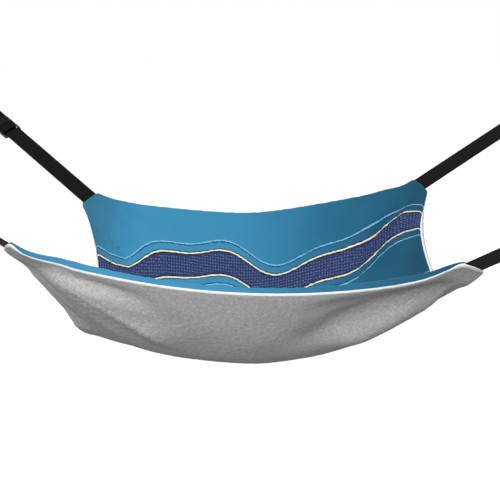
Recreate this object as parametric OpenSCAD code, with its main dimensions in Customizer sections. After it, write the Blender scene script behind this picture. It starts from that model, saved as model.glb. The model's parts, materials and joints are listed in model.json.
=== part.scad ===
// Cat hammock: a padded cloth bed hung by four adjustable webbing straps with swivel snap hooks.
// The middle of the four hooks is the origin, X runs along the width, Y to the back, Z up.

/* [Bed cloth] */
// Half the distance between the left and right corners
bed_half_width = 199; // [160:1:240]
// Half the distance between the front and back corners
bed_half_depth = 140; // [110:1:165]
// How far the front edge curves in at its middle
front_hollow = 16; // [5:1:25]
// How far the back edge curves in at its middle
back_hollow = 13; // [5:1:25]
// How far the left edge curves in at its middle
left_hollow = 30; // [5:1:40]
// How far the right edge curves in at its middle
right_hollow = 8; // [5:1:40]
// Drop of the left edge below its corners
left_drop = 121; // [70:1:140]
// Drop of the right edge below its corners
right_drop = 68; // [60:1:120]
// Further drop along the middle of the bed
middle_drop = 29.5; // [10:0.5:45]
// Lean of the deepest place to the right
middle_lean = 0.74; // [0:0.02:0.8]
// Drop of the front edge below its corners
front_drop = 34; // [15:1:50]
// Drop of the back edge below its corners
back_drop = 22; // [15:1:50]
// Roundness of the front edge's bow
front_power = 2.1; // [1.6:0.1:2.4]
// Roundness of the back edge's bow
back_power = 1.15; // [1.1:0.05:2.4]
// Roundness of the bed from front to back
drop_power = 1.6; // [1.4:0.1:2.2]
// Height of the front left corner
front_left_rise = 8.5; // [-20:0.5:15]
// Height of the front right corner
front_right_rise = -15.5; // [-20:0.5:15]
// Height of the back left corner
back_left_rise = -4; // [-20:0.5:15]
// Height of the back right corner
back_right_rise = 6.5; // [-20:0.5:15]
// Height of the folds that run in from the corners
fold_height = 4; // [0:0.5:6]
// Cloth past the webbing on each side of a corner
corner_margin = 1.2; // [0.8:0.1:3]

/* [Padding] */
// Thickness of each cover cloth
cover_thickness = 0.8; // [0.5:0.1:1.2]
// Thickness of the wadding between the covers
wadding_thickness = 6; // [3:0.5:9]
// Width of the rounding along the rim
rim_roll = 14; // [8:1:24]

/* [Straps] */
// Width of the webbing
strap_width = 20; // [15:1:26]
// Thickness of the webbing
strap_thickness = 1.2; // [0.8:0.1:1.6]
// Webbing sewn in between the covers at each corner
root_length = 18; // [12:1:24]
// From the bed to the middle of the slider
run_length = 159; // [110:1:190]
// From the middle of the slider to the eye bar
loop_length = 65; // [50:1:90]
// Turn of the front left strap to the front, in degrees
front_left_turn = 15; // [5:1:50]
// Turn of the front right strap to the front, in degrees
front_right_turn = 48; // [5:1:50]
// Turn of the back left strap to the back, in degrees
back_left_turn = 30; // [5:1:50]
// Turn of the back right strap to the back, in degrees
back_right_turn = 20; // [5:1:50]
// Rise of the front left strap, in degrees
front_left_slope = 38; // [20:1:50]
// Rise of the front right strap, in degrees
front_right_slope = 31; // [20:1:50]
// Rise of the back left strap, in degrees
back_left_slope = 31; // [20:1:50]
// Rise of the back right strap, in degrees
back_right_slope = 28; // [20:1:50]
// Roll of the straps, in degrees
strap_roll = 27.5; // [20:0.5:35]

/* [Slider] */
// Length of the slider along the strap
slider_length = 24; // [24:0.5:32]
// Slider past the webbing on each side
slider_margin = 2.5; // [2.5:0.5:6]
// Thickness of the slider
slider_thickness = 3; // [2:0.25:4]
// Width of the slider's two end bars
end_bar = 3.5; // [2.5:0.25:4]
// Width of the slider's middle bar
middle_bar = 4.5; // [3:0.25:5]
// Slot past the webbing on each side
slot_margin = 0.75; // [0.5:0.25:1.25]
// Corner radius of the slider
slider_corner = 3; // [1:0.5:4]
// Webbing that stays with the slider past each of its ends
weave_tail = 3; // [2:0.5:5]
// Length over which the sewn end rises to the second strand
tail_rise = 2.5; // [2:0.1:3]

/* [Swivel eye] */
// Radius of the eye bar in the webbing
eye_bar_r = 1.75; // [1.5:0.25:2.5]
// Width of the eye's legs
eye_leg = 3.5; // [3:0.25:5]
// Thickness of the eye's legs and front bar
eye_thickness = 3.4; // [2.5:0.1:4]
// Outer radius of the eye's boss
boss_r = 4; // [3.75:0.25:5]
// Length of the eye's boss
boss_length = 5; // [4:0.5:8]

/* [Snap hook] */
// Radius of the swivel stem
stem_r = 2; // [1.5:0.25:2.5]
// Radius of the stem's head
stem_head_r = 3.2; // [3:0.1:3.5]
// Length of the stem's head
stem_head_length = 1.3; // [1:0.1:2]
// Radius of the collar
collar_r = 4.2; // [4:0.1:5]
// Length of the collar
collar_length = 3.2; // [2.5:0.1:5]
// Inner radius of the hook
hook_r = 7; // [6:0.25:9]
// Width of the hook's wall
hook_wall = 4.5; // [4:0.25:6]
// Thickness of the hook
hook_thickness = 6; // [5:0.25:7]
// Wall of the bolt's barrel
barrel_wall = 1.1; // [0.9:0.1:1.5]
// Wall that closes the barrel behind the spring
barrel_end = 1.5; // [1:0.1:3]
// Length of the barrel's guide bore
guide_length = 5.7; // [4:0.1:8]
// Length of the shoulder from the collar to the hook's full width
shoulder_length = 5; // [3:0.5:8]
// Setback of the shoulder from the hook's full width
shoulder_drop = 2.5; // [1:0.25:4]
// Overlap of the collar with the shoulder
neck_overlap = 1; // [0.5:0.1:1.5]

/* [Bolt and spring] */
// Radius of the bolt
bolt_r = 1.6; // [1.4:0.1:1.8]
// Radius of the bolt's head
bolt_head_r = 2.3; // [2.2:0.1:2.6]
// Length of the bolt's head
bolt_head_length = 1.7; // [1.6:0.1:3]
// Way that the thumb stud draws the bolt back
bolt_travel = 7; // [5:0.5:7.5]
// Radius of the thumb stud
stud_r = 0.8; // [0.6:0.1:0.9]
// Radius of the thumb stud's knob
knob_r = 1.9; // [1.5:0.1:2.5]
// Height of the thumb stud's knob
knob_height = 2; // [1.5:0.1:3]
// Length of the spring at rest
spring_length = 10.8; // [10:0.1:14]
// Radius of the spring's wire
spring_wire_r = 0.3; // [0.2:0.05:0.35]
// Turns of the spring
spring_turns = 5; // [4:1:6]

/* [Clearances] */
// Room between pieces that move past each other
gap = 0.3; // [0.25:0.05:0.4]
// Room round the stem, the bolt and its head
fit_gap = 0.2; // [0.15:0.05:0.25]
// Room between the seam and the hinge line of a strap
seam_gap = 1.5; // [1.4:0.1:2.5]
// Room between the eye's legs and the webbing's edges
leg_gap = 0.6; // [0.4:0.1:1.5]
// Room between the webbing round the eye bar and the stem's head
head_gap = 1.65; // [1.2:0.05:3]

/* [Hidden] */
$fn = 64;

// Corners in the order front left, front right, back left, back right
corner_side = [[-1, -1], [1, -1], [-1, 1], [1, 1]];
corner_rise = [front_left_rise, front_right_rise, back_left_rise, back_right_rise];
corner_slope = [front_left_slope, front_right_slope, back_left_slope, back_right_slope];
corner_turn = [front_left_turn, front_right_turn, back_left_turn, back_right_turn];

// Cloth grid: cells across the width and the depth, closer together near the rim
cells_u = 26;
cells_v = 18;
// Step for the slopes of the cloth, as a share of half the bed
slope_step = 0.003;
// Softening of the fold line along the bottom of the bed, and of the middle of the rims
bottom_soft = 0.015;
rim_soft = 0.02;
// The cloth lies in the strap's plane this near a corner, then eases away over the second distance
flat_radius = 8;
flat_ease = 42;
// The corner's tip is drawn back over this distance
tip_radius = 12;
tip_back = 0.8;
// The two rims start at the webbing's edges and run back to their own lines over this distance
corner_half = strap_width / 2 + corner_margin;
corner_reach = 75;
// Direction and spread of the ridge and the valley that start at each corner, in degrees from the rim
ridge_angle = 24;
valley_angle = 44;
fold_spread = 11;
// The folds grow from the first distance to the second and fade from the third to the fourth
fold_reach = [25, 85, 105, 225];

function mix(a, b, s) = a + (b - a) * s;
function unit(v) = v / norm(v);
function clamp(x) = min(max(x, 0), 1);
function ease(x) = let (s = clamp(x)) s * s * (3 - 2 * s);
function total(list, i = 0) = i == len(list) - 1 ? list[i] : list[i] + total(list, i + 1);

// Strap directions at corner c: along the webbing, across it, and off its face
function strap_along(c) =
  let (s = corner_side[c], e = corner_slope[c], t = corner_turn[c])
  [s[0] * cos(e) * cos(t), s[1] * cos(e) * sin(t), sin(e)];
function strap_across(c) =
  let (s = corner_side[c],
       e = corner_slope[c],
       t = corner_turn[c],
       level = [-s[0] * sin(t), s[1] * cos(t), 0],
       up = [-s[0] * sin(e) * cos(t), -s[1] * sin(e) * sin(t), cos(e)])
  s[0] * s[1] * (level * cos(strap_roll) + up * sin(strap_roll));
function strap_off(c) = cross(strap_along(c), strap_across(c));

// Share of a full drop at x, from 0 at both ends to 1 in the middle
function drop_share(x, power, soft) =
  let (low = pow(soft, power / 2),
       high = pow(1 + soft, power / 2))
  (high - pow(x * x + soft, power / 2)) / (high - low);

// Middle layer of the bed before the corners are drawn flat
function bed_base(u, v) =
  let (r = (1 + u) / 2,
       s = (1 + v) / 2,
       arch = 1 - u * u,
       side_hollow = mix(left_hollow, right_hollow, r),
       rim_hollow = mix(front_hollow, back_hollow, s),
       rise = mix(mix(corner_rise[0], corner_rise[1], r), mix(corner_rise[2], corner_rise[3], r), s),
       drop = mix(left_drop, right_drop, r) + middle_drop * arch * (1 + middle_lean * u),
       front = front_drop * drop_share(u, front_power, rim_soft),
       back = back_drop * drop_share(u, back_power, rim_soft))
  [u * (bed_half_width - side_hollow * (1 - v * v)),
   v * (bed_half_depth - rim_hollow * arch),
   rise - drop * drop_share(v, drop_power, bottom_soft) - mix(front, back, s)];

corner_tip = [for (s = corner_side) bed_base(s[0], s[1])];

// Ridge and valley that run in from corner c
function corner_fold(c, p) =
  let (away = [abs(p[0] - corner_tip[c][0]), abs(p[1] - corner_tip[c][1])],
       reach = norm(away),
       turn = reach > 0.01 ? atan2(away[1], away[0]) : 0,
       ridge = exp(-pow((turn - ridge_angle) / fold_spread, 2)),
       valley = exp(-pow((turn - valley_angle) / fold_spread, 2)),
       grow = ease((reach - fold_reach[0]) / (fold_reach[1] - fold_reach[0])),
       fade = 1 - ease((reach - fold_reach[2]) / (fold_reach[3] - fold_reach[2])))
  fold_height * (ridge - valley) * grow * fade;

// Pull of corner c on a point of the cloth: flat in the strap's plane, with a blunt tip
function corner_pull(c, p) =
  let (d = p - corner_tip[c],
       reach = norm(d),
       hold = 1 - ease((reach - flat_radius) / flat_ease),
       along = strap_along(c),
       off = strap_off(c))
  -along * (d * along) * tip_back * exp(-reach / tip_radius) - off * (d * off) * hold;

// Spread of corner c across the webbing, from one rim to the other
function corner_spread(c, u, v, p) =
  let (s = corner_side[c],
       rim = max((1 - s[0] * u) * bed_half_width, 0),
       edge = max((1 - s[1] * v) * bed_half_depth, 0),
       way = rim + edge > 0.01 ? (rim - edge) / (rim + edge) : 0,
       share = max(1 - norm(p - corner_tip[c]) / corner_reach, 0))
  strap_across(c) * s[0] * s[1] * corner_half * way * share * share;

// Middle layer of the bed with its folds, then drawn flat at the corners, then spread there
function bed_folded(u, v) =
  let (flat = bed_base(u, v))
  flat + [0, 0, total([for (c = [0:3]) corner_fold(c, flat)])];
function bed_pulled(u, v) =
  let (p = bed_folded(u, v))
  p + total([for (c = [0:3]) corner_pull(c, p)]);
function bed_middle(u, v) =
  let (p = bed_folded(u, v))
  p + total([for (c = [0:3]) corner_pull(c, p) + corner_spread(c, u, v, p)]);
function bed_off(u, v) =
  unit(cross(bed_pulled(u + slope_step, v) - bed_pulled(u - slope_step, v),
             bed_pulled(u, v + slope_step) - bed_pulled(u, v - slope_step)));

// Half thickness of the wadding, rounded off to nothing along the rim
function roll_share(x) = let (s = 1 - clamp(x / rim_roll)) sqrt(1 - s * s);
function half_wadding(u, v) =
  wadding_thickness / 2 * roll_share((1 - abs(u)) * bed_half_width) * roll_share((1 - abs(v)) * bed_half_depth);

function grid_share(i, cells) = i == 0 ? -1 : i == cells ? 1 : -cos(180 * i / cells);
cloth_grid = [for (j = [0:cells_v]) for (i = [0:cells_u]) [grid_share(i, cells_u), grid_share(j, cells_v)]];
cloth_points = [for (g = cloth_grid) bed_middle(g[0], g[1])];
cloth_normals = [for (g = cloth_grid) bed_off(g[0], g[1])];
cloth_halves = [for (g = cloth_grid) half_wadding(g[0], g[1])];
cloth_count = len(cloth_grid);

// One face of a layer: side is 1 above the wadding and -1 below it, extra is the distance from the wadding
function layer_points(side, extra) =
  [for (k = [0:cloth_count - 1]) cloth_points[k] + cloth_normals[k] * side * (cloth_halves[k] + extra)];
function cell_index(i, j) = j * (cells_u + 1) + i;
function is_rim(k) = let (i = k % (cells_u + 1), j = floor(k / (cells_u + 1)))
  i == 0 || i == cells_u || j == 0 || j == cells_v;
// Triangles of the grid, each cell split along the line that runs in from its nearest corner
cloth_faces = [
  for (j = [0:cells_v - 1]) for (i = [0:cells_u - 1])
    let (a = cell_index(i, j),
         b = cell_index(i + 1, j),
         c = cell_index(i + 1, j + 1),
         d = cell_index(i, j + 1),
         straight = (i < cells_u / 2) == (j < cells_v / 2))
    each straight ? [[a, b, c], [a, c, d]] : [[a, b, d], [b, c, d]]
];
rim_loop = concat(
  [for (i = [0:cells_u - 1]) cell_index(i, 0)],
  [for (j = [0:cells_v - 1]) cell_index(cells_u, j)],
  [for (i = [0:cells_u - 1]) cell_index(cells_u - i, cells_v)],
  [for (j = [0:cells_v - 1]) cell_index(0, cells_v - j)]
);
rim_count = len(rim_loop);

// Slider and webbing levels, measured off the middle of the strap's run
slider_level = -(slider_thickness / 2 + gap + strap_thickness / 2);
slider_width = strap_width + 2 * slider_margin;
slot_width = strap_width + 2 * slot_margin;
slot_length = (slider_length - 2 * end_bar - middle_bar) / 2;
weave_reach = slider_length / 2 + weave_tail;
second_level = strap_thickness + gap;
ring_half_length = middle_bar / 2 + gap;
ring_half_height = slider_thickness / 2 + gap;
under_level = -(ring_half_height + strap_thickness + gap + strap_thickness / 2);
down_start = slider_length / 2 - end_bar - gap - strap_thickness / 2;
down_end = (down_start + ring_half_length + strap_thickness) / 2;

// Eye and snap hook positions along the strap, measured from the eye bar
eye_level = second_level / 2;
eye_at = run_length + loop_length;
wrap_r = eye_bar_r + gap + strap_thickness;
// Straight end of the two strands beside the eye bar
loop_straight = 6;
head_start = wrap_r + head_gap;
boss_start = head_start + stem_head_length + gap;
boss_end = boss_start + boss_length;
collar_start = boss_end + gap;
collar_end = collar_start + collar_length;
leg_middle = strap_width / 2 + leg_gap + eye_leg / 2;
front_bar = boss_start + boss_length / 2;
barrel_r = bolt_head_r + fit_gap + barrel_wall;
barrel_start = collar_end + neck_overlap;
bolt_level = hook_r + gap / 3 + bolt_r;
chamber_start = barrel_start + barrel_end;
bolt_head_at = chamber_start + spring_length;
chamber_end = bolt_head_at + bolt_head_length + gap;
barrel_stop = chamber_end + guide_length;
mouth_half = sqrt(max(hook_r * hook_r - pow(bolt_level - barrel_r, 2), 1)) + 0.2;
hook_at = barrel_stop + mouth_half;
hook_outer = hook_r + hook_wall;
bolt_tip = hook_at + mouth_half - gap;
stud_at = bolt_head_at + bolt_head_length / 2;
spring_r = bolt_head_r - spring_wire_r - fit_gap / 2;

// Strap origins at the hinge lines, and the middle of the four hooks
strap_origin = [for (c = [0:3]) corner_tip[c] + strap_along(c) * seam_gap];
hook_centre = [for (c = [0:3]) strap_origin[c] + strap_along(c) * (eye_at + hook_at) + strap_off(c) * eye_level];
origin = total(hook_centre) / 4;

// Webbing strip along a line of points in a plane
function strip_side(p, h) = [
  for (i = [0:len(p) - 1])
    let (before = i == 0 ? unit(p[1] - p[0]) : unit(p[i] - p[i - 1]),
         after = i == len(p) - 1 ? before : unit(p[i + 1] - p[i]),
         n1 = [-before[1], before[0]],
         n2 = [-after[1], after[0]])
    p[i] + h * (n1 + n2) / (1 + n1 * n2)
];
module strip(p) {
  left = strip_side(p, strap_thickness / 2);
  right = strip_side(p, -strap_thickness / 2);
  polygon(concat(left, [for (i = [len(p) - 1:-1:0]) right[i]]));
}

// Turns an outline of along and off into a webbing piece across the strap
module across_strap(width) {
  rotate([90, 0, 0])
    linear_extrude(width, center = true)
      children();
}

// Puts a piece into corner c: x along the strap, y across it, z off its face
module at_corner(c) {
  along = strap_along(c);
  across = strap_across(c);
  off = strap_off(c);
  place = strap_origin[c] - origin;
  multmatrix([
    [along[0], across[0], off[0], place[0]],
    [along[1], across[1], off[1], place[1]],
    [along[2], across[2], off[2], place[2]],
    [0, 0, 0, 1]
  ])
    children();
}

// A cylinder along the strap from a to b
module rod(r, a, b) {
  translate([a, 0, 0])
    rotate([0, 90, 0])
      cylinder(r = r, h = b - a);
}

// Cover cloth above or below the wadding
module cover(side) {
  inner = layer_points(side, 0);
  outer = layer_points(side, cover_thickness);
  low = side > 0 ? inner : outer;
  high = side > 0 ? outer : inner;
  walls = [
    for (k = [0:rim_count - 1])
      let (a = rim_loop[k], b = rim_loop[(k + 1) % rim_count])
      each [[a, b, b + cloth_count], [a, b + cloth_count, a + cloth_count]]
  ];
  translate(-origin)
    polyhedron(
      points = concat(low, high),
      faces = [
        for (f = concat(cloth_faces, [for (w = walls) [w[0], w[2], w[1]]])) f,
        for (f = cloth_faces) [f[2] + cloth_count, f[1] + cloth_count, f[0] + cloth_count]
      ]
    );
}

module top_cover() {
  color("#3C83A8") cover(1);
}

module bottom_cover() {
  color("#B4B5B6") cover(-1);
}

// Wadding, a lens whose two faces meet along the rim
module wadding() {
  function upper(k) = is_rim(k) ? k : k + cloth_count;
  color("#F4F3EE")
    translate(-origin)
      polyhedron(
        points = concat(layer_points(-1, 0), layer_points(1, 0)),
        faces = [
          for (f = cloth_faces) f,
          for (f = cloth_faces) [upper(f[2]), upper(f[1]), upper(f[0])]
        ]
      );
}

// End of the webbing that is sewn in between the covers
module strap_root() {
  color("#1D1D1E")
    across_strap(strap_width)
      strip([[-root_length, 0], [-seam_gap * 2 / 3, 0]]);
}

// Single webbing from the seam to the slider, with a round edge on the hinge line
module strap_run() {
  color("#1D1D1E") {
    across_strap(strap_width)
      strip([[0, 0], [run_length - weave_reach, 0]]);
    across_strap(strap_width)
      circle(d = 0.9 * strap_thickness);
  }
}

// Slider plate with two slots on either side of the middle bar
module slider() {
  color("#141414")
    translate([run_length, 0, slider_level - slider_thickness / 2])
      linear_extrude(slider_thickness)
        difference() {
          union() {
            square([slider_length - 2 * slider_corner, slider_width], center = true);
            square([slider_length, slider_width - 2 * slider_corner], center = true);
            for (x = [-1, 1], y = [-1, 1])
              translate([x * (slider_length / 2 - slider_corner), y * (slider_width / 2 - slider_corner)])
                circle(r = slider_corner);
          }
          for (x = [-1, 1])
            translate([x * (middle_bar + slot_length) / 2, 0])
              square([slot_length, slot_width], center = true);
        }
}

// Webbing inside the slider: the run passes under the middle bar, the sewn end goes round it
module strap_weave() {
  reach = weave_reach - gap;
  color("#1D1D1E")
    translate([run_length, 0, slider_level]) {
      across_strap(strap_width)
        strip([
          [-reach, -slider_level], [-down_start, -slider_level], [-down_end, under_level],
          [down_end, under_level], [down_start, -slider_level], [reach, -slider_level]
        ]);
      across_strap(strap_width)
        difference() {
          square([2 * (ring_half_length + strap_thickness), 2 * (ring_half_height + strap_thickness)], center = true);
          square([2 * ring_half_length, 2 * ring_half_height], center = true);
        }
      across_strap(strap_width)
        strip([
          [middle_bar / 2, ring_half_height + strap_thickness / 2],
          [ring_half_length + strap_thickness + tail_rise, second_level - slider_level],
          [reach, second_level - slider_level]
        ]);
    }
}

// Outline round both strands of the loop, at a distance from their middles and round the eye bar
module loop_outline(start, past, r) {
  union() {
    polygon([
      [start, -past], [eye_at - loop_straight, eye_level - r], [eye_at, eye_level - r],
      [eye_at, eye_level + r], [eye_at - loop_straight, eye_level + r], [start, second_level + past]
    ]);
    translate([eye_at, eye_level])
      circle(r = r);
  }
}

// Doubled webbing from the slider round the eye bar
module strap_loop() {
  start = run_length + weave_reach;
  color("#1D1D1E")
    across_strap(strap_width)
      difference() {
        loop_outline(start, strap_thickness / 2, wrap_r);
        loop_outline(start - 1, -strap_thickness / 2, eye_bar_r + gap);
      }
}

// Metal eye: a round bar in the webbing, two legs and a front bar with the swivel boss
module eye() {
  color("#B9BBBE")
    translate([eye_at, 0, eye_level])
      difference() {
        union() {
          translate([0, 0, -eye_thickness / 2])
            linear_extrude(eye_thickness)
              union() {
                for (y = [-1, 1]) {
                  translate([0, y * leg_middle])
                    circle(d = eye_leg);
                  translate([0, y * leg_middle - eye_leg / 2])
                    square([front_bar + eye_leg / 2, eye_leg]);
                }
                translate([front_bar - eye_leg / 2, -leg_middle])
                  square([eye_leg, 2 * leg_middle]);
              }
          rotate([90, 0, 0])
            cylinder(r = eye_bar_r, h = 2 * leg_middle, center = true);
          rod(boss_r, boss_start, boss_end);
        }
        rod(stem_r + fit_gap, boss_start - 1, boss_end + 1);
      }
}

// Snap hook body: swivel stem, collar, barrel and the open hook
module snap() {
  color("#B9BBBE")
    translate([eye_at, 0, eye_level])
      difference() {
        union() {
          rod(stem_head_r, head_start, head_start + stem_head_length);
          rod(stem_r, head_start, collar_start + 1);
          rod(collar_r, collar_start, collar_end);
          rotate([90, 0, 0])
            linear_extrude(hook_thickness, center = true)
              difference() {
                union() {
                  translate([hook_at, 0])
                    circle(r = hook_outer);
                  polygon([
                    [collar_end - neck_overlap, -collar_r + neck_overlap / 2],
                    [collar_end + shoulder_length, -hook_outer + shoulder_drop], [hook_at, -hook_outer],
                    [hook_at, 0], [barrel_stop, bolt_level], [barrel_start, bolt_level],
                    [collar_end - neck_overlap, collar_r - neck_overlap / 2]
                  ]);
                }
                translate([hook_at, 0])
                  circle(r = hook_r);
                translate([hook_at - mouth_half, 0])
                  square([2 * mouth_half, 2 * hook_outer]);
              }
          translate([0, 0, bolt_level])
            rod(barrel_r, barrel_start, barrel_stop);
        }
        translate([0, 0, bolt_level]) {
          rod(bolt_head_r + fit_gap, chamber_start, chamber_end);
          rod(bolt_r + fit_gap, chamber_end - 1, barrel_stop + 1);
          translate([stud_at - bolt_travel - stud_r - gap, -stud_r - gap, 0])
            cube([bolt_travel + 2 * (stud_r + gap), 2 * (stud_r + gap), barrel_r + hook_outer]);
        }
      }
}

// Bolt that closes the hook, with its head, thumb stud and knob
module bolt() {
  color("#A9ABAE")
    translate([eye_at, 0, eye_level + bolt_level]) {
      rod(bolt_r, bolt_head_at, bolt_tip);
      rod(bolt_head_r, bolt_head_at, bolt_head_at + bolt_head_length);
      translate([stud_at, 0, 0])
        cylinder(r = stud_r, h = barrel_r + gap + knob_height);
      translate([stud_at, 0, barrel_r + gap])
        cylinder(r = knob_r, h = knob_height);
    }
}

// Spring wire: points along the coil, 8 rings a turn of 6 sides
spring_rings = 8 * spring_turns;
spring_pitch = (spring_length - 2 * spring_wire_r) / spring_turns;
function spring_point(i) =
  let (a = 360 * i / 8)
  [spring_wire_r + spring_pitch * i / 8, spring_r * cos(a), spring_r * sin(a)];
function spring_ring(i) =
  let (a = 360 * i / 8,
       out = [0, cos(a), sin(a)],
       way = unit([spring_pitch / 360 * 180 / PI, -spring_r * sin(a), spring_r * cos(a)]),
       up = cross(way, out))
  [for (k = [0:5]) spring_point(i) + spring_wire_r * (out * cos(60 * k) + up * sin(60 * k))];
spring_self_gap = min([for (i = [0:spring_rings - 8]) norm(spring_point(i + 8) - spring_point(i))]) - 2 * spring_wire_r;
echo(str("least gap between the spring's turns ", spring_self_gap, " mm"));

// Coil spring that pushes the bolt shut
module spring() {
  ring_points = [for (i = [0:spring_rings]) each spring_ring(i)];
  color("#8E9092")
    translate([eye_at + chamber_start, 0, eye_level + bolt_level])
      polyhedron(
        points = ring_points,
        faces = [
          [1, 2, 0], [2, 3, 0], [3, 4, 0], [4, 5, 0],
          for (i = [0:spring_rings - 1]) for (k = [0:5])
            let (a = 6 * i + k, b = 6 * i + (k + 1) % 6)
            each [[a, b + 6, b], [a, a + 6, b + 6]],
          for (k = [1:4]) [6 * spring_rings + k, 6 * spring_rings, 6 * spring_rings + k + 1]
        ]
      );
}

top_cover();
wadding();
bottom_cover();
at_corner(0) strap_root();  // strap_root_front_left
at_corner(1) strap_root();  // strap_root_front_right
at_corner(2) strap_root();  // strap_root_back_left
at_corner(3) strap_root();  // strap_root_back_right
at_corner(0) strap_run();  // strap_run_front_left
at_corner(1) strap_run();  // strap_run_front_right
at_corner(2) strap_run();  // strap_run_back_left
at_corner(3) strap_run();  // strap_run_back_right
at_corner(0) slider();  // slider_front_left
at_corner(1) slider();  // slider_front_right
at_corner(2) slider();  // slider_back_left
at_corner(3) slider();  // slider_back_right
at_corner(0) strap_weave();  // strap_weave_front_left
at_corner(1) strap_weave();  // strap_weave_front_right
at_corner(2) strap_weave();  // strap_weave_back_left
at_corner(3) strap_weave();  // strap_weave_back_right
at_corner(0) strap_loop();  // strap_loop_front_left
at_corner(1) strap_loop();  // strap_loop_front_right
at_corner(2) strap_loop();  // strap_loop_back_left
at_corner(3) strap_loop();  // strap_loop_back_right
at_corner(0) eye();  // eye_front_left
at_corner(1) eye();  // eye_front_right
at_corner(2) eye();  // eye_back_left
at_corner(3) eye();  // eye_back_right
at_corner(0) snap();  // snap_front_left
at_corner(1) snap();  // snap_front_right
at_corner(2) snap();  // snap_back_left
at_corner(3) snap();  // snap_back_right
at_corner(0) bolt();  // bolt_front_left
at_corner(1) bolt();  // bolt_front_right
at_corner(2) bolt();  // bolt_back_left
at_corner(3) bolt();  // bolt_back_right
at_corner(0) spring();  // spring_front_left
at_corner(1) spring();  // spring_front_right
at_corner(2) spring();  // spring_back_left
at_corner(3) spring();  // spring_back_right
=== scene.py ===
# Cat hammock: a padded cloth bed on four webbing straps with sliders and swivel snap hooks.
# Lengths in the dictionaries are millimetres in the bed's own frame unless a note says otherwise.
import json
import math

import bpy
import numpy as np
from mathutils import Matrix


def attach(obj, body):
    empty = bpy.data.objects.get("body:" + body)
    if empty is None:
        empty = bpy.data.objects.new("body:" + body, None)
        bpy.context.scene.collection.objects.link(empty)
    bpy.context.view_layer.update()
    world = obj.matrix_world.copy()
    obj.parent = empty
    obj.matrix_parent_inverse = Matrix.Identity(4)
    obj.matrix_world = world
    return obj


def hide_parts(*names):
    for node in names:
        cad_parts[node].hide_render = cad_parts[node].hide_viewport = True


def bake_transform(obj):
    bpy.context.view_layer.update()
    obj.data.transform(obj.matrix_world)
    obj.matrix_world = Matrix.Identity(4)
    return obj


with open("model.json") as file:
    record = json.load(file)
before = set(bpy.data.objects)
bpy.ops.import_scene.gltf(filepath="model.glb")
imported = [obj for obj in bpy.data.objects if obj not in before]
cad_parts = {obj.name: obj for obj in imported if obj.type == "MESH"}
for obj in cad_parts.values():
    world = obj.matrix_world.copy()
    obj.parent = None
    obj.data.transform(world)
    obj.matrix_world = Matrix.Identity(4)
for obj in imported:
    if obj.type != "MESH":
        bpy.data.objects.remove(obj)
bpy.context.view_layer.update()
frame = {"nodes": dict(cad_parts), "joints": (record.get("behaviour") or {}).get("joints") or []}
print("frame loaded with", len(frame["nodes"]), "nodes")

mm = 0.001
tiny = 0.01  # millimetres that count as none
scene = bpy.context.scene
scene.view_settings.view_transform = "Standard"

# The bed's middle layer follows the same formula as the solid part
bed = {
    "halfWidth": 199,
    "halfDepth": 140,
    "hollow": {"front": 16, "back": 13, "left": 30, "right": 8},  # how far each edge curves in
    "drop": {"left": 121, "right": 68, "middle": 29.5, "front": 34, "back": 22},
    "middleLean": 0.74,  # the deepest place lies to the right
    "bow": {"across": (1.6, 0.015), "front": (2.1, 0.02), "back": (1.15, 0.02)},  # roundness and softening
    "foldHeight": 4,
    "foldSpread": 11,  # degrees
    "ridgeAngle": 24,  # degrees from the long rim
    "valleyAngle": 44,
    "foldGrows": (25, 85),  # distances from the corner
    "foldFades": (105, 225),
    "flatFades": (8, 50),  # the cloth leaves the webbing's plane between these distances
    "tipBack": 0.8,  # share by which the very tip is drawn back
    "tipRadius": 12,
    "cornerHalf": 11.2,  # half the straight end of the cloth at each strap
    "cornerReach": 75,
}
# Each corner's side and height, with the slope and turn of its strap in degrees
corners = {
    "front_left": {"side": (-1, -1), "rise": 8.5, "slope": 38, "turn": 15},
    "front_right": {"side": (1, -1), "rise": -15.5, "slope": 31, "turn": 48},
    "back_left": {"side": (-1, 1), "rise": -4, "slope": 31, "turn": 30},
    "back_right": {"side": (1, 1), "rise": 6.5, "slope": 28, "turn": 20},
}
strap = {
    "roll": 27.5,  # degrees
    "width": 20,
    "thickness": 1.2,
    "seamGap": 1.5,  # seam to hinge line
    "root": 18,
    "run": 159,  # hinge line to the slider's middle
    "eye": 224,  # hinge line to the eye bar
    "secondLevel": 1.5,  # the second strand above the first
    "eyeBar": 1.75,
    "gap": 0.3,
}


def mix(a, b, s):
    return a + (b - a) * s


def ease(x):
    s = np.clip(x, 0, 1)
    return s * s * (3 - 2 * s)


# From 0 to 1 between two distances
def easeOver(x, span):
    low, high = span
    return ease((x - low) / (high - low))


def unit(a):
    return a / np.linalg.norm(a, axis=-1, keepdims=True)


# Along the webbing, across it, and off its face
def strapFrame(corner):
    s0, s1 = corner["side"]
    slope, turn, roll = (math.radians(x) for x in (corner["slope"], corner["turn"], strap["roll"]))
    along = np.array((
        s0 * math.cos(slope) * math.cos(turn), s1 * math.cos(slope) * math.sin(turn), math.sin(slope)))
    level = np.array((-s0 * math.sin(turn), s1 * math.cos(turn), 0.0))
    up = np.array((
        -s0 * math.sin(slope) * math.cos(turn), -s1 * math.sin(slope) * math.sin(turn), math.cos(slope)))
    across = s0 * s1 * (level * math.cos(roll) + up * math.sin(roll))
    return along, across, np.cross(along, across)


# Share of a drop at x, from 0 at both ends to 1 in the middle
def dropShare(x, bow):
    power, soft = bow
    low, high = soft ** (power / 2), (1 + soft) ** (power / 2)
    return (high - (x * x + soft) ** (power / 2)) / (high - low)


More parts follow.
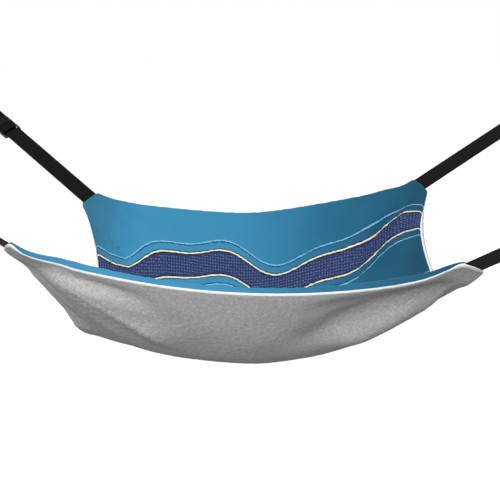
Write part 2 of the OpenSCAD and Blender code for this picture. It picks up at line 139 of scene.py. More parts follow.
# The hung middle layer at u from left to right and v from front to back, both from -1 to 1
def bedBase(u, v):
    r, s, arch = (1 + u) / 2, (1 + v) / 2, 1 - u * u
    hollow, drop, bow = bed["hollow"], bed["drop"], bed["bow"]
    rises = [c["rise"] for c in corners.values()]
    rise = mix(mix(rises[0], rises[1], r), mix(rises[2], rises[3], r), s)
    x = u * (bed["halfWidth"] - mix(hollow["left"], hollow["right"], r) * (1 - v * v))
    y = v * (bed["halfDepth"] - mix(hollow["front"], hollow["back"], s) * arch)
    full = mix(drop["left"], drop["right"], r) + drop["middle"] * arch * (1 + bed["middleLean"] * u)
    rims = mix(drop["front"] * dropShare(u, bow["front"]), drop["back"] * dropShare(u, bow["back"]), s)
    return np.stack((x, y, rise - full * dropShare(v, bow["across"]) - rims), -1)


for corner in corners.values():
    corner["tip"] = bedBase(*(np.float64(s) for s in corner["side"]))
    corner["along"], corner["across"], corner["off"] = strapFrame(corner)
    corner["hinge"] = corner["tip"] + corner["along"] * strap["seamGap"]


def cornerFold(corner, p):
    away = np.abs(p[..., :2] - corner["tip"][:2])
    reach = np.linalg.norm(away, axis=-1)
    turn = np.degrees(np.arctan2(away[..., 1], away[..., 0]))
    ridge = np.exp(-((turn - bed["ridgeAngle"]) / bed["foldSpread"]) ** 2)
    valley = np.exp(-((turn - bed["valleyAngle"]) / bed["foldSpread"]) ** 2)
    grown = easeOver(reach, bed["foldGrows"])
    return bed["foldHeight"] * (ridge - valley) * grown * (1 - easeOver(reach, bed["foldFades"]))


# Near a strap the cloth lies flat in the webbing's plane, with a blunt tip
def cornerPull(corner, p):
    d = p - corner["tip"]
    reach = np.linalg.norm(d, axis=-1)[..., None]
    hold = 1 - easeOver(reach, bed["flatFades"])
    back = bed["tipBack"] * np.exp(-reach / bed["tipRadius"])
    alongPart, offPart = ((d @ corner[k])[..., None] * corner[k] for k in ("along", "off"))
    return -alongPart * back - offPart * hold


# The two rims start at the webbing's edges
def cornerSpread(corner, u, v, p):
    s0, s1 = corner["side"]
    rim = np.maximum((1 - s0 * u) * bed["halfWidth"], 0)
    edge = np.maximum((1 - s1 * v) * bed["halfDepth"], 0)
    way = np.where(rim + edge > tiny, (rim - edge) / np.maximum(rim + edge, tiny), 0)
    share = np.maximum(1 - np.linalg.norm(p - corner["tip"], axis=-1) / bed["cornerReach"], 0)
    return corner["across"] * (s0 * s1 * bed["cornerHalf"] * way * share ** 2)[..., None]


def bedFolded(u, v):
    flat = bedBase(u, v)
    p = flat.copy()
    for corner in corners.values():
        p[..., 2] += cornerFold(corner, flat)
    return p


def bedPulled(u, v):
    p = bedFolded(u, v)
    return p + sum(cornerPull(corner, p) for corner in corners.values())


def bedNormal(u, v, step=0.003):
    du = bedPulled(u + step, v) - bedPulled(u - step, v)
    dv = bedPulled(u, v + step) - bedPulled(u, v - step)
    return unit(np.cross(du, dv))


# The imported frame's origin, seen from the bed's own frame
firstJoint = next(j for j in frame["joints"] if j["name"] == "front_left_strap_swing")
rowOrigin = corners["front_left"]["hinge"] - np.array(firstJoint["pos_m"]) / mm


def toRow(points):
    return (np.asarray(points, float) - rowOrigin) * mm


# A point of a strap, t past its hinge line
def strapPoint(corner, t, across=0.0, off=0.0):
    return corner["hinge"] + corner["along"] * t + corner["across"] * across + corner["off"] * off


camera = {
    "place": (47.2, -765.4, 165.1),
    "yaw": -3.31,  # degrees, turned to the left
    "pitch": 14.61,  # looking down
    "roll": 1.57,
    "lens": 54.78,
    "sensor": 36,
    "farthest": 100,  # metres
}


def addCamera(spec):
    yaw, pitch, roll = (math.radians(spec[k]) for k in ("yaw", "pitch", "roll"))
    forward = np.array((
        math.sin(yaw) * math.cos(pitch), math.cos(yaw) * math.cos(pitch), -math.sin(pitch)))
    right = np.array((math.cos(yaw), -math.sin(yaw), 0.0))
    up = np.cross(right, forward)
    turnedRight = right * math.cos(roll) - up * math.sin(roll)
    turnedUp = right * math.sin(roll) + up * math.cos(roll)
    data = bpy.data.cameras.new("camera")
    data.lens = spec["lens"]
    data.sensor_width = spec["sensor"]
    data.clip_end = spec["farthest"]
    obj = bpy.data.objects.new("camera", data)
    turn = Matrix((turnedRight, turnedUp, -forward)).transposed().to_4x4()
    obj.matrix_world = Matrix.Translation(toRow(spec["place"])) @ turn
    scene.collection.objects.link(obj)
    scene.camera = obj


addCamera(camera)
print("camera placed")


# sRGB hex to the linear colour that shaders use
def linear(hexColour):
    parts = [int(hexColour[i:i + 2], 16) / 255 for i in (1, 3, 5)]
    return [x / 12.92 if x <= 0.04045 else ((x + 0.055) / 1.055) ** 2.4 for x in parts] + [1.0]


# Adds a node with its settings; an input that is a socket is linked, any other value is set
def addNode(material, kind, inputs=None, **settings):
    tree = material.node_tree
    node = tree.nodes.new(kind)
    for key, value in settings.items():
        setattr(node, key, value)
    for key, value in (inputs or {}).items():
        if isinstance(value, bpy.types.NodeSocket):
            tree.links.new(value, node.inputs[key])
        else:
            node.inputs[key].default_value = value
    return node


def newMaterial(name):
    material = bpy.data.materials.new(name)
    material.use_nodes = True
    material.node_tree.nodes.clear()
    return material


# Colours along a ramp, each at its place from 0 to 1, with how much of it covers what is below
def setRamp(node, stops, sharp=False):
    ramp = node.color_ramp
    ramp.interpolation = "CONSTANT" if sharp else "LINEAR"
    while len(ramp.elements) < len(stops):
        ramp.elements.new(1.0)
    for element, (place, colour, cover) in zip(ramp.elements, stops):
        element.position = place
        element.color = linear(colour)[:3] + [cover]


# A wave texture's scale for a pattern that repeats every so many millimetres: at 1 it repeats every 2 pi / 20
def waveScale(pitch):
    return 2 * math.pi / 20 / pitch


# Flat cloth coordinates in millimetres, kept in each cloth's own map
clothMap = "clothMm"

printedCloth = {
    "groundAndShade": [(0.0, "#306a86"), (0.14, "#3987ad"), (0.45, "#3583a8"), (0.75, "#226483"), (1.0, "#184a63")],
    "groundAndShadeAt": (-204.0, 204.0),  # the print's ground, light at the left and deep at the right, with painted shade: deeper to the right and darker at both ends, where the walls turn from the light
    "groundAndShadeShare": (-0.11, 0.89),
    "dyeSize": 70,  # slow changes of the dye
    "dyeShare": 0.22,
    "navy": "#27365c",
    "bandEvery": 124,  # from one wavy band to the next
    "bandHalf": 12,
    "bandShift": 120,
    "waves": [(236, 13), (104, 5)],  # length and height
    # millimetres past the band's edge, the colour from there on, and whether it covers the ground
    "lines": [
        (0.0, "#15161c", 1), (1.3, "#e6dfc6", 1), (2.8, "#15161c", 1), (3.9, "#27365c", 0),
        (11.0, "#27365c", 1), (12.2, "#6fb4d2", 1), (13.6, "#27365c", 0)],
    "dot": "#56648f",
    "dotPitch": 3.4,
    "dotRadius": 0.27,  # share of the pitch
    "dotUneven": 0.15,
    "dotClear": 1.5,  # from the band's edge
    "threadPitch": 1.5,  # real 0.3, drawn coarser so that it shows
    "threadHeight": 0.2,
    "relief": 0.25,
}


# Polyester, woven smooth and printed: a matt face with a faint sheen, the dye slightly uneven
def makePrintedPolyester(spec):
    m = newMaterial("printed_polyester")
    uv = addNode(m, "ShaderNodeUVMap", uv_map=clothMap).outputs[0]
    place = addNode(m, "ShaderNodeSeparateXYZ", {0: uv})
    slow = addNode(m, "ShaderNodeTexNoise", {
        "Vector": uv, "Scale": 1 / spec["dyeSize"], "Detail": 3.0, "Roughness": 0.45})
    (left, right), (light, deep) = spec["groundAndShadeAt"], spec["groundAndShadeShare"]
    run = addNode(m, "ShaderNodeMapRange", {0: place.outputs[0], 1: left, 2: right, 3: light, 4: deep})
    run = addNode(m, "ShaderNodeMath", {
        0: slow.outputs[0], 1: spec["dyeShare"], 2: run.outputs[0]}, operation="MULTIPLY_ADD")
    # the print's ground colour across the width, with painted shade: darker at both ends and deeper to the right
    groundAndShade = addNode(m, "ShaderNodeValToRGB", {0: run.outputs[0]})
    setRamp(groundAndShade, [(at, colour, 1) for at, colour in spec["groundAndShade"]])
    # wavy bands along the width, each with a thin light line between dark ones
    wave = addNode(m, "ShaderNodeMath", {0: place.outputs[1], 1: spec["bandShift"]}, operation="SUBTRACT")
    for length, height in spec["waves"]:
        turn = addNode(m, "ShaderNodeMath", {
            0: place.outputs[0], 1: 2 * math.pi / length}, operation="MULTIPLY")
        swing = addNode(m, "ShaderNodeMath", {0: turn.outputs[0]}, operation="SINE")
        wave = addNode(m, "ShaderNodeMath", {
            0: swing.outputs[0], 1: height, 2: wave.outputs[0]}, operation="MULTIPLY_ADD")
    away = addNode(m, "ShaderNodeMath", {0: wave.outputs[0], 1: spec["bandEvery"] / 2}, operation="PINGPONG")
    share = addNode(m, "ShaderNodeMath", {0: away.outputs[0], 1: spec["bandEvery"] / 2}, operation="DIVIDE")
    band = addNode(m, "ShaderNodeValToRGB", {0: share.outputs[0]})
    perMm = 2 / spec["bandEvery"]
    edge = spec["bandHalf"] * perMm
    lines = [(edge + past * perMm, colour, cover) for past, colour, cover in spec["lines"]]
    setRamp(band, [(0.0, spec["navy"], 1)] + lines, sharp=True)
    dots = addNode(m, "ShaderNodeTexVoronoi", {
        "Vector": uv, "Scale": 1 / spec["dotPitch"], "Randomness": spec["dotUneven"]})
    dots = addNode(m, "ShaderNodeMath", {
        0: dots.outputs["Distance"], 1: spec["dotRadius"]}, operation="LESS_THAN")
    inside = addNode(m, "ShaderNodeMath", {
        0: share.outputs[0], 1: edge - spec["dotClear"] * perMm}, operation="LESS_THAN")
    dots = addNode(m, "ShaderNodeMath", {0: dots.outputs[0], 1: inside.outputs[0]}, operation="MULTIPLY")
    ink = addNode(m, "ShaderNodeMix", {
        0: dots.outputs[0], 6: band.outputs[0], 7: linear(spec["dot"])}, data_type="RGBA")
    colour = addNode(m, "ShaderNodeMix", {
        0: band.outputs[1], 6: groundAndShade.outputs[0], 7: ink.outputs[2]}, data_type="RGBA")
    warp, weft = (
        addNode(m, "ShaderNodeTexWave", {
            "Vector": uv, "Scale": waveScale(spec["threadPitch"])}, bands_direction=way)
        for way in ("X", "Y"))
    weave = addNode(m, "ShaderNodeMath", {0: warp.outputs[1], 1: weft.outputs[1]}, operation="ADD")
    bump = addNode(m, "ShaderNodeBump", {
        "Strength": spec["relief"], "Distance": spec["threadHeight"] * mm, "Height": weave.outputs[0]})
    shader = addNode(m, "ShaderNodeBsdfPrincipled", {
        "Base Color": colour.outputs[2], "Roughness": 0.76, "Sheen Weight": 0.03, "Sheen Roughness": 0.4,
        "IOR": 1.5, "Specular IOR Level": 0.15, "Normal": bump.outputs[0]})
    addNode(m, "ShaderNodeOutputMaterial", {"Surface": shader.outputs[0]})
    return m


seamHighlightCloth = {"pale": "#f4f5f6", "shade": "#e4e6e8", "grain": 5 / 3, "grainHeight": 0.2, "relief": 0.2}


# The pale rolled edge at the seam, painted white as its highlight where it catches the light, with the weave just
# showing
def makeSeamHighlight(spec):
    m = newMaterial("white_seam_painted_highlight")
    uv = addNode(m, "ShaderNodeUVMap", uv_map=clothMap).outputs[0]
    grain = addNode(m, "ShaderNodeTexNoise", {"Vector": uv, "Scale": 1 / spec["grain"], "Detail": 2.0})
    tone = addNode(m, "ShaderNodeMix", {
        0: grain.outputs[0], 6: linear(spec["pale"]), 7: linear(spec["shade"])}, data_type="RGBA")
    bump = addNode(m, "ShaderNodeBump", {
        "Strength": spec["relief"], "Distance": spec["grainHeight"] * mm, "Height": grain.outputs[0]})
    shader = addNode(m, "ShaderNodeBsdfPrincipled", {
        "Base Color": tone.outputs[2], "Roughness": 0.7, "Sheen Weight": 0.1, "Normal": bump.outputs[0]})
    addNode(m, "ShaderNodeOutputMaterial", {"Surface": shader.outputs[0]})
    return m


wovenCloth = {
    "pale": "#e6e6e7",
    "grey": "#959596",
    "yarnPitch": 1.7,  # two yarns
    "yarnBend": 0.5,
    "yarnShare": 0.45,  # of the weave beside the slubs
    "yarnHeight": 0.4,
    "relief": 0.45,
    "slub": (5, 1.4),  # length and width of a thick place in a yarn
    "slant": 38,  # degrees
    "contrast": (0.55, 1.75),  # what is grey and what is pale, of weave and slubs together
}


# Oxford cloth of white and grey yarns: a coarse matt weave that reads grey from afar
def makeWovenCloth(spec):
    m = newMaterial("woven_oxford")
    uv = addNode(m, "ShaderNodeUVMap", uv_map=clothMap).outputs[0]
    turned = addNode(m, "ShaderNodeMapping", {
        0: uv, "Rotation": (0, 0, math.radians(spec["slant"]))}).outputs[0]
    warp, weft = (
        addNode(m, "ShaderNodeTexWave", {
            "Vector": turned, "Scale": waveScale(spec["yarnPitch"]), "Distortion": spec["yarnBend"]},
            bands_direction=way)
        for way in ("X", "Y"))
    weave = addNode(m, "ShaderNodeMath", {0: warp.outputs[1], 1: weft.outputs[1]}, operation="MULTIPLY")
    # thick places run along the yarns in both directions
    along, across = (1 / x for x in spec["slub"])
    slubs = []
    for size in ((along, across, 1), (across, along, 1)):
        drawn = addNode(m, "ShaderNodeMapping", {0: turned, "Scale": size})
        slubs.append(addNode(m, "ShaderNodeTexNoise", {"Vector": drawn.outputs[0], "Scale": 1.0, "Detail": 2.0}))
    slub = addNode(m, "ShaderNodeMath", {0: slubs[0].outputs[0], 1: slubs[1].outputs[0]}, operation="ADD")
    share = addNode(m, "ShaderNodeMath", {
        0: weave.outputs[0], 1: spec["yarnShare"], 2: slub.outputs[0]}, operation="MULTIPLY_ADD")
    grey, pale = spec["contrast"]
    share = addNode(m, "ShaderNodeMapRange", {0: share.outputs[0], 1: grey, 2: pale})
    tone = addNode(m, "ShaderNodeMix", {
        0: share.outputs[0], 6: linear(spec["grey"]), 7: linear(spec["pale"])}, data_type="RGBA")
    bump = addNode(m, "ShaderNodeBump", {
        "Strength": spec["relief"], "Distance": spec["yarnHeight"] * mm, "Height": share.outputs[0]})
    shader = addNode(m, "ShaderNodeBsdfPrincipled", {
        "Base Color": tone.outputs[2], "Roughness": 0.88, "Sheen Weight": 0.08, "Sheen Roughness": 0.5,
        "Specular IOR Level": 0.2, "Normal": bump.outputs[0]})
    addNode(m, "ShaderNodeOutputMaterial", {"Surface": shader.outputs[0]})
    return m


blackWebbing = {
    "dark": "#040404",
    "pale": "#0c0c0d",
    "ribPitch": 1.7,
    "ribBend": 0.2,
    "rowPitch": 2.5,  # yarns side by side
    "dust": (5, 0.4),  # size and share of dull patches
    "ribHeight": 0.3,
    "relief": 0.6,
}


# Polypropylene webbing, woven flat: dull black with ribs across it and a faint shine on each yarn
def makeWebbing(spec):
    m = newMaterial("polypropylene_webbing")
    uv = addNode(m, "ShaderNodeUVMap", uv_map=clothMap).outputs[0]
    ribs = addNode(m, "ShaderNodeTexWave", {
        "Vector": uv, "Scale": waveScale(spec["ribPitch"]), "Distortion": spec["ribBend"]})
    rows = addNode(m, "ShaderNodeTexWave", {
        "Vector": uv, "Scale": waveScale(spec["rowPitch"])}, bands_direction="Y")
    weave = addNode(m, "ShaderNodeMath", {0: ribs.outputs[1], 1: rows.outputs[1]}, operation="MULTIPLY")
    size, strength = spec["dust"]
    dust = addNode(m, "ShaderNodeTexNoise", {"Vector": uv, "Scale": 1 / size, "Detail": 3.0})
    share = addNode(m, "ShaderNodeMath", {
        0: dust.outputs[0], 1: strength, 2: weave.outputs[0]}, operation="MULTIPLY_ADD")
    tone = addNode(m, "ShaderNodeMix", {
        0: share.outputs[0], 6: linear(spec["dark"]), 7: linear(spec["pale"])}, data_type="RGBA")
    bump = addNode(m, "ShaderNodeBump", {
        "Strength": spec["relief"], "Distance": spec["ribHeight"] * mm, "Height": weave.outputs[0]})
    shader = addNode(m, "ShaderNodeBsdfPrincipled", {
        "Base Color": tone.outputs[2], "Roughness": 0.68, "IOR": 1.49, "Specular IOR Level": 0.08,
        "Normal": bump.outputs[0]})
    addNode(m, "ShaderNodeOutputMaterial", {"Surface": shader.outputs[0]})
    return m


blackThread = {"dark": "#141415", "pale": "#2c2c2e", "twistPitch": 0.5, "twistHeight": 0.1, "relief": 0.4}


# Nylon thread, twisted: black with a soft shine and a fine slanting twist
def makeThread(spec):
    m = newMaterial("nylon_thread")
    uv = addNode(m, "ShaderNodeUVMap", uv_map=clothMap).outputs[0]
    twist = addNode(m, "ShaderNodeTexWave", {
        "Vector": uv, "Scale": waveScale(spec["twistPitch"])}, bands_direction="DIAGONAL")
    tone = addNode(m, "ShaderNodeMix", {
        0: twist.outputs[1], 6: linear(spec["dark"]), 7: linear(spec["pale"])}, data_type="RGBA")
    bump = addNode(m, "ShaderNodeBump", {
        "Strength": spec["relief"], "Distance": spec["twistHeight"] * mm, "Height": twist.outputs[1]})
    shader = addNode(m, "ShaderNodeBsdfPrincipled", {
        "Base Color": tone.outputs[2], "Roughness": 0.5, "IOR": 1.53, "Normal": bump.outputs[0]})
    addNode(m, "ShaderNodeOutputMaterial", {"Surface": shader.outputs[0]})
    return m


blackAcetal = {"dark": "#0e0e0f", "pale": "#1a1a1b", "grain": 0.6, "grainHeight": 0.1, "relief": 0.15}


# Acetal, injection moulded: black, half matt, with a fine grain from the mould
def makeAcetal(spec):
    m = newMaterial("moulded_acetal")
    place = addNode(m, "ShaderNodeTexCoord").outputs["Object"]
    grain = addNode(m, "ShaderNodeTexNoise", {
        "Vector": place, "Scale": 1 / (spec["grain"] * mm), "Detail": 2.0})
    tone = addNode(m, "ShaderNodeMix", {
        0: grain.outputs[0], 6: linear(spec["dark"]), 7: linear(spec["pale"])}, data_type="RGBA")
    bump = addNode(m, "ShaderNodeBump", {
        "Strength": spec["relief"], "Distance": spec["grainHeight"] * mm, "Height": grain.outputs[0]})
    shader = addNode(m, "ShaderNodeBsdfPrincipled", {
        "Base Color": tone.outputs[2], "Roughness": 0.42, "IOR": 1.48, "Normal": bump.outputs[0]})
    addNode(m, "ShaderNodeOutputMaterial", {"Surface": shader.outputs[0]})
    return m


metals = {
    "nickel_plated_zinc": {"pale": "#a6a49f", "dark": "#8b8985", "rough": 0.3},
    "nickel_plated_steel": {"pale": "#9d9c99", "dark": "#82817f", "rough": 0.24},
    "spring_steel": {"pale": "#868685", "dark": "#6b6b6b", "rough": 0.36},
}
metalFace = {
    "cloud": 7,  # size of the plate's cloudy patches
    "cloudSpan": (0.3, 0.7),
    "polish": (-0.06, 0.08),  # smoother and rougher than the metal's own roughness
    "grain": 0.8,
    "grainHeight": 0.1,
    "relief": 0.06,
}


# Nickel plate on die-cast zinc or steel, and drawn spring wire: grey metal, slightly cloudy, with a soft polish
def makeMetal(name, colours, spec):
    m = newMaterial(name)
    place = addNode(m, "ShaderNodeTexCoord").outputs["Object"]
    cloud = addNode(m, "ShaderNodeTexNoise", {
        "Vector": place, "Scale": 1 / (spec["cloud"] * mm), "Detail": 3.0})
    tone = addNode(m, "ShaderNodeMix", {
        0: cloud.outputs[0], 6: linear(colours["pale"]), 7: linear(colours["dark"])}, data_type="RGBA")
    (low, high), (smooth, rough) = spec["cloudSpan"], (colours["rough"] + x for x in spec["polish"])
    polish = addNode(m, "ShaderNodeMapRange", {0: cloud.outputs[0], 1: low, 2: high, 3: smooth, 4: rough})
    fine = addNode(m, "ShaderNodeTexNoise", {
        "Vector": place, "Scale": 1 / (spec["grain"] * mm), "Detail": 2.0})
    bump = addNode(m, "ShaderNodeBump", {
        "Strength": spec["relief"], "Distance": spec["grainHeight"] * mm, "Height": fine.outputs[0]})
    shader = addNode(m, "ShaderNodeBsdfPrincipled", {
        "Base Color": tone.outputs[2], "Metallic": 1.0, "Roughness": polish.outputs[0],
        "Normal": bump.outputs[0]})
    addNode(m, "ShaderNodeOutputMaterial", {"Surface": shader.outputs[0]})
    return m


whiteWadding = {"pale": "#f6f5f0", "shade": "#dddcd6", "fibre": 3, "curl": 2.0, "fibreHeight": 1, "relief": 0.5}


# Polyester wadding: loose white fibres
def makeWadding(spec):
    m = newMaterial("polyester_wadding")
    place = addNode(m, "ShaderNodeTexCoord").outputs["Object"]
    fibre = addNode(m, "ShaderNodeTexNoise", {
        "Vector": place, "Scale": 1 / (spec["fibre"] * mm), "Detail": 5.0, "Distortion": spec["curl"]})
    tone = addNode(m, "ShaderNodeMix", {
        0: fibre.outputs[0], 6: linear(spec["pale"]), 7: linear(spec["shade"])}, data_type="RGBA")
    bump = addNode(m, "ShaderNodeBump", {
        "Strength": spec["relief"], "Distance": spec["fibreHeight"] * mm, "Height": fibre.outputs[0]})
    shader = addNode(m, "ShaderNodeBsdfPrincipled", {
        "Base Color": tone.outputs[2], "Roughness": 0.95, "Sheen Weight": 0.2, "Normal": bump.outputs[0]})
    addNode(m, "ShaderNodeOutputMaterial", {"Surface": shader.outputs[0]})
    return m


printedPolyester = makePrintedPolyester(printedCloth)
seamHighlightWhite = makeSeamHighlight(seamHighlightCloth)
oxfordCloth = makeWovenCloth(wovenCloth)
webbing = makeWebbing(blackWebbing)
thread = makeThread(blackThread)
acetal = makeAcetal(blackAcetal)
nickelPlate, boltSteel, springSteel = (makeMetal(name, colours, metalFace) for name, colours in metals.items())
waddingFibre = makeWadding(whiteWadding)
print("materials made")


# A mesh object from points in the bed's frame, with a flat place for each point and a material for each face
def addPiece(name, points, faces, flat, materials, faceMaterial=None):
    mesh = bpy.data.meshes.new(name)
    mesh.from_pydata([tuple(p) for p in toRow(points)], [], [tuple(f) for f in faces])
    layer = mesh.uv_layers.new(name=clothMap)
    loopVertex = np.zeros(len(mesh.loops), np.int32)
    mesh.loops.foreach_get("vertex_index", loopVertex)
    layer.uv.foreach_set("vector", np.asarray(flat, np.float32)[loopVertex].ravel())
    mesh.polygons.foreach_set("use_smooth", np.ones(len(mesh.polygons), bool))
    for material in materials:
        mesh.materials.append(material)
    if faceMaterial is not None:
        mesh.polygons.foreach_set("material_index", np.asarray(faceMaterial, np.int32))
    mesh.update()
    obj = bpy.data.objects.new(name, mesh)
    scene.collection.objects.link(obj)
    return obj


pad = {
    "cellsU": 160,
    "cellsV": 120,
    "crowd": 0.45,  # share by which the cells crowd towards the rims
    "flatWidth": 408,
    "flatDepth": 373,
    "inset": 3.2,  # where the rim's roll starts, inside the edge of the cloth
    "tipInset": 1.2,  # the same at the corners
    "insetGrows": (14, 64),  # distances from a corner
    "half": 3.8,  # half the pad's thickness
    "rimRadius": 4.5,  # roll along the edges
    "rimReach": 10,  # over which the roll's thickness passes into the pad's
    "tipRadius": 2.6,  # roll at the corners, where little wadding lies over the webbing
    "tipReach": (8, 68),
    "clothThickness": 0.6,
    "printEnd": {"long": -44, "side": 54},  # degrees round the roll where the print stops
    "seam": {"long": -79, "side": 20},  # degrees round the roll where the two covers meet
    "cornerTurn": {"long": 16, "side": 50},  # from a corner, over which the rims' angles meet half way
    "rollRows": {"print": 8, "white": 4, "woven": 8},
    "tuck": 0.7,  # into the seam
    "reliefGrows": (14, 44),  # distances from a corner, for folds and wrinkles
    # slow unevenness of the wadding
    "sway": {"height": 1.0, "along": (83, 131), "alongSlant": 0.4, "across": (71, 113), "acrossSlant": -0.3,
             "fromRim": 40},
    "pucker": {"height": 0.3, "lengths": (9.7, 13.9, 21), "reach": 9},  # gathers along the rim's seam
    # how far the cloth hangs below the webbing's plane, at what distance from the strap, and how widely
    "tipSag": {"front_right": (2.0, 30, 17), "back_right": (1.5, 18, 13)},
    "flare": (6, 0.05, 0.35),  # how far the right rim stands out, where along it, and over what share
}

# Tension wrinkles that fan out from the straps: how many to a radian, and how far each strap's are turned
wrinkle = {
    "height": 0.55,
    "coarse": (13, 1.7),
    "fine": (21, 2.9),
    "fineShare": 0.6,
    "fineBend": 40,
    "grows": (22, 52),
    "fades": (55, 150),
}

# Folds of the hung pad: a path in shares of the half width and half depth; a height above 0 stands outwards,
# leftWidth is the width on the left of the path, a crest is the rounding of a fold that comes to an edge,
# and a fold fades out over its clear distance to the rim
folds = [
    {"path": [(-0.98, -1.05), (-0.93, -0.975), (-0.88, -0.92), (-0.8, -0.855), (-0.67, -0.75),
              (-0.54, -0.63), (-0.48, -0.55), (-0.42, -0.45), (-0.36, -0.36)],
     "width": 30, "leftWidth": 13, "height": 8, "crest": 2, "clear": 22},
    {"path": [(-1.0, -1.06), (-1.0, -0.9), (-1.0, -0.75), (-1.0, -0.55), (-1.0, -0.3)],
     "width": 26, "height": -6, "clear": 0},
    {"path": [(-0.85, -0.985), (-0.72, -0.953), (-0.6, -0.928), (-0.51, -0.88), (-0.36, -0.83)],
     "width": 13, "height": -2.2},
    {"path": [(1.12, -1.03), (0.96, -0.97), (0.88, -0.94), (0.725, -0.87), (0.583, -0.785),
              (0.438, -0.688), (0.33, -0.61), (0.2, -0.5)],
     "width": 26, "height": -7, "clear": 20},
    {"path": [(1.0, -0.8), (0.92, -0.71), (0.83, -0.66), (0.75, -0.6), (0.67, -0.53), (0.54, -0.45),
              (0.42, -0.39)],
     "width": 19, "height": 4.5, "clear": 30},
    {"path": [(0.94, -0.98), (0.8, -0.955), (0.6, -0.93), (0.42, -0.9), (0.25, -0.85)],
     "width": 12, "height": -2.6},
    {"path": [(1.02, 1.0), (0.97, 0.943), (0.923, 0.897), (0.88, 0.865), (0.792, 0.79), (0.705, 0.695),
              (0.6, 0.57)],
     "width": 9, "height": 8},
    {"path": [(-1.0, 1.0), (-0.87, 0.96), (-0.79, 0.902), (-0.72, 0.828), (-0.67, 0.775), (-0.58, 0.66)],
     "width": 11, "height": -4.5, "crest": 4.5},
    {"path": [(-0.5, 0.22), (-0.2, 0.12), (0.15, 0.14), (0.5, 0.24)], "width": 22, "height": 2.0},
]
foldLine = {
    "points": 160,
    "soften": 12,  # points on each side that a corner of the path is rounded over
    "starts": 0.22,  # share of the path over which a fold rises
    "ends": 0.35,
    "clear": 10,
}


# Places from -1 to 1 along one direction of the net
def gridShare(count):
    s = np.arange(count + 1) / count
    even, close = 2 * s - 1, -np.cos(math.pi * s)
    return (1 - pad["crowd"]) * even + pad["crowd"] * close


def rimLoop(cellsU, cellsV):
    index = np.arange((cellsU + 1) * (cellsV + 1)).reshape(cellsV + 1, cellsU + 1)
    return np.concatenate((index[0, :-1], index[:-1, -1], index[-1, :0:-1], index[:0:-1, 0]))


def cornerReach(points):
    return np.min([np.linalg.norm(points - c["tip"], axis=-1) for c in corners.values()], axis=0)


def foldHeight(fold, flat, fromRim, spec):
    knots = np.array(fold["path"]) * np.array((pad["flatWidth"], pad["flatDepth"])) / 2
    length = np.concatenate(([0], np.cumsum(np.linalg.norm(np.diff(knots, axis=0), axis=1))))
    s = np.linspace(0, 1, spec["points"])
    line = np.stack([np.interp(s * length[-1], length, knots[:, k]) for k in (0, 1)], -1)
    beyond, count = spec["soften"], 2 * spec["soften"] + 1
    for k in (0, 1):
        longer = np.pad(line[:, k], beyond, mode="reflect", reflect_type="odd")
        line[:, k] = np.convolve(longer, np.ones(count) / count, "valid")
    gap = np.linalg.norm(flat[:, None] - line[None], axis=-1)
    nearest, near = gap.argmin(1), gap.min(1)
    way, beside = np.gradient(line, axis=0)[nearest], flat - line[nearest]
    onLeft = way[:, 0] * beside[:, 1] > way[:, 1] * beside[:, 0]
    width = np.where(onLeft, fold.get("leftWidth", fold["width"]), fold["width"])
    crest = fold.get("crest")
    fall = (np.hypot(near, crest) - crest) / width if crest else (near / width) ** 2
    taper = ease(s / spec["starts"]) * ease((1 - s) / spec["ends"])
    clear = fold.get("clear", spec["clear"])
    return fold["height"] * taper[nearest] * np.exp(-fall) * (ease(fromRim / clear) if clear else 1)


def wrinkleHeight(u, v, spec):
    (coarse, coarseTurn), (fine, fineTurn) = spec["coarse"], spec["fine"]
    total = 0
    for index, corner in enumerate(corners.values()):
        s0, s1 = corner["side"]
        a, b = (1 - s0 * u) * pad["flatWidth"] / 2, (1 - s1 * v) * pad["flatDepth"] / 2
        reach, turn = np.hypot(a, b), np.arctan2(b, a)
        bent = np.sin(turn * fine + index * fineTurn + reach / spec["fineBend"])
        fan = np.sin(turn * coarse + index * coarseTurn) + spec["fineShare"] * bent
        shown = 1 - easeOver(reach, spec["fades"])
        total = total + spec["height"] * fan * easeOver(reach, spec["grows"]) * shown
    return total


# Waves of several lengths together, each started a little later
def waves(x, lengths, later=1.3):
    return sum(np.sin(2 * math.pi * x / length + later * k) for k, length in enumerate(lengths)) / len(lengths)


# How far the middle layer stands off the bed's formula
def padRelief(u, v, flat, fromRim, sway):
    total = -sum(foldHeight(fold, flat, fromRim, foldLine) for fold in folds) + wrinkleHeight(u, v, wrinkle)
    along = waves(flat[:, 0] + sway["alongSlant"] * flat[:, 1], sway["along"])
    across = waves(flat[:, 1] + sway["acrossSlant"] * flat[:, 0], sway["across"])
    return total + sway["height"] * (along * across) * ease(fromRim / sway["fromRim"])


drape = {
    "frames": 16,
    "hold": (0.58, 1.0),  # how firmly the filling keeps the hung shape, inside and at the rim
    "rimHeld": (8, 32),  # the rim's hold fades out between these distances from it
    "tipHeld": (24, 54),  # the same from the corners
    "furthest": 4,  # no point moves further than this
    "weight": 0.2,  # share of gravity
    "cloth": {
        "shrink_min": -0.018,  # cut this share larger than the hung shape, so that it creases
        "mass": 0.15,
        "tension_stiffness": 20,
        "compression_stiffness": 20,
        "shear_stiffness": 8,
        "bending_stiffness": 4,
        "pin_stiffness": 0.6,
        "quality": 5,
    },
}


